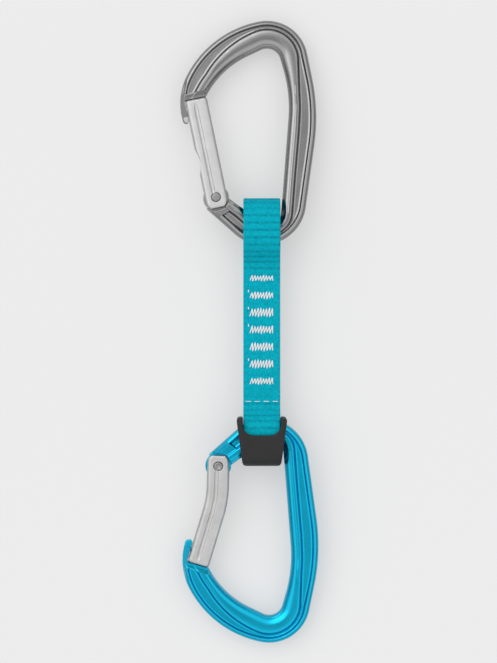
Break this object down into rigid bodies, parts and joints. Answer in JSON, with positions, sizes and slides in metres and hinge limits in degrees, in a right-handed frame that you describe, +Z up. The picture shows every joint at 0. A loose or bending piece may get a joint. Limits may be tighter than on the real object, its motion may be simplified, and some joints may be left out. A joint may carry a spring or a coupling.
{
  "type": "climbing quickdraw",
  "caption": "Climbing quickdraw: a straight-gate and a bent-gate carabiner with sprung gates, joined by a sewn webbing sling with a rubber keeper.",
  "frame": {"origin": "centre of the footprint on the floor, under the middle of the sling", "axes": "+Y along the sling towards the upper carabiner, +X towards both spines, +Z up from the floor"},
  "size_m": [0.0632, 0.2848, 0.021],
  "materials": {
    "grey_frame": "dark grey anodised forging, satin",
    "blue_frame": "azure blue anodised forging, satin",
    "gate": "tumbled bare aluminium",
    "rivet": "peened stainless steel",
    "plunger": "turned steel",
    "spring": "drawn spring wire",
    "webbing": "woven polyamide webbing, teal",
    "thread": "twisted white sewing thread",
    "keeper": "matte moulded rubber"
  },
  "bodies": {
    "sling": {"sling": "webbing", "bartack_1": "thread", "bartack_2": "thread", "bartack_3": "thread", "bartack_4": "thread", "bartack_5": "thread", "bartack_6": "thread", "bartack_7": "thread", "end_stitch": "thread", "keeper": "keeper"},
    "upper_carabiner": {"upper_body": "grey_frame", "upper_gate_pin": "rivet"},
    "upper_gate": {"upper_gate": "gate", "upper_gate_spring": "spring"},
    "upper_plunger": {"upper_gate_plunger": "plunger"},
    "lower_carabiner": {"lower_body": "blue_frame", "lower_gate_pin": "rivet"},
    "lower_gate": {"lower_gate": "gate", "lower_gate_spring": "spring"},
    "lower_plunger": {"lower_gate_plunger": "plunger"}
  },
  "joints": [
    {"name": "upper_swing", "type": "hinge", "parent": "sling", "child": "upper_carabiner", "pos_m": [0, 0.04782, 0.0105], "axis": [1, 0, 0], "range_deg": [-116.17, 123.83]},
    {"name": "lower_tilt", "type": "hinge", "parent": "sling", "child": "lower_carabiner", "pos_m": [0, -0.04782, 0.0105], "axis": [-1, 0, 0], "range_deg": [-2.17, 9.83], "stiffness_Nm_per_rad": 0.3, "springref_deg": 3.83},
    {"name": "upper_gate_hinge", "type": "hinge", "parent": "upper_carabiner", "child": "upper_gate", "pos_m": [-0.0151, 0.06087, 0.00963], "axis": [0, -0.0668, -0.9978], "range_deg": [0, 30], "stiffness_Nm_per_rad": 0.15, "springref_deg": -30},
    {"name": "upper_plunger_slide", "type": "slide", "parent": "upper_gate", "child": "upper_plunger", "axis": [-0.2013, 0.9774, -0.0654], "range_m": [0, 0.0015], "deforming": ["upper_gate_spring"]},
    {"name": "lower_gate_hinge", "type": "hinge", "parent": "lower_carabiner", "child": "lower_gate", "pos_m": [-0.0141, -0.06087, 0.00963], "axis": [0, -0.0668, 0.9978], "range_deg": [0, 30], "stiffness_Nm_per_rad": 0.15, "springref_deg": -30},
    {"name": "lower_plunger_slide", "type": "slide", "parent": "lower_gate", "child": "lower_plunger", "axis": [-0.0221, -0.9975, -0.0667], "range_m": [0, 0.0015], "deforming": ["lower_gate_spring"]}
  ],
  "couplings": [
    {"joint": "upper_plunger_slide", "follows": "upper_gate_hinge", "m_per_rad": 0.0028648},
    {"joint": "lower_plunger_slide", "follows": "lower_gate_hinge", "m_per_rad": 0.0028648}
  ]
}
